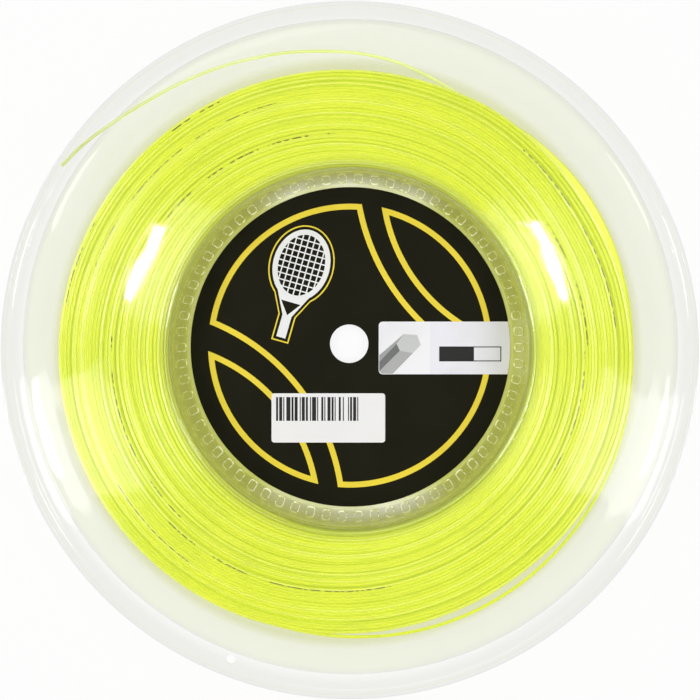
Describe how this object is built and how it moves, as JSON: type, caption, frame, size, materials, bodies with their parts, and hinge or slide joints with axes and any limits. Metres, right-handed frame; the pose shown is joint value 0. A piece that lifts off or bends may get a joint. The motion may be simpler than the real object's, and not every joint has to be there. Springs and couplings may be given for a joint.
{
  "type": "string reel",
  "caption": "Clear plastic shop reel of yellow-green racket string, two flanges on a drum with a deep cup, round label and a loose string end.",
  "frame": {"origin": "centre of the reel at the plane of its rear rim, where it lies on a surface", "axes": "+Z along the reel's axis, out of the face with the label; +Y to the top of the label; +X to its right"},
  "size_m": [0.26, 0.26, 0.029],
  "materials": {
    "clear_plastic": "clear moulded, glossy, slightly hazy",
    "label_print": "black printed paper, satin",
    "sticker_paper": "white self-adhesive paper, matte",
    "string": "fluorescent yellow-green monofilament, glossy"
  },
  "bodies": {
    "root": {"front_half": "clear_plastic", "rear_half": "clear_plastic", "front_label": "label_print", "barcode_sticker": "sticker_paper", "string_core": "string", "string_winding": "string", "string_free_end": "string"}
  },
  "joints": []
}
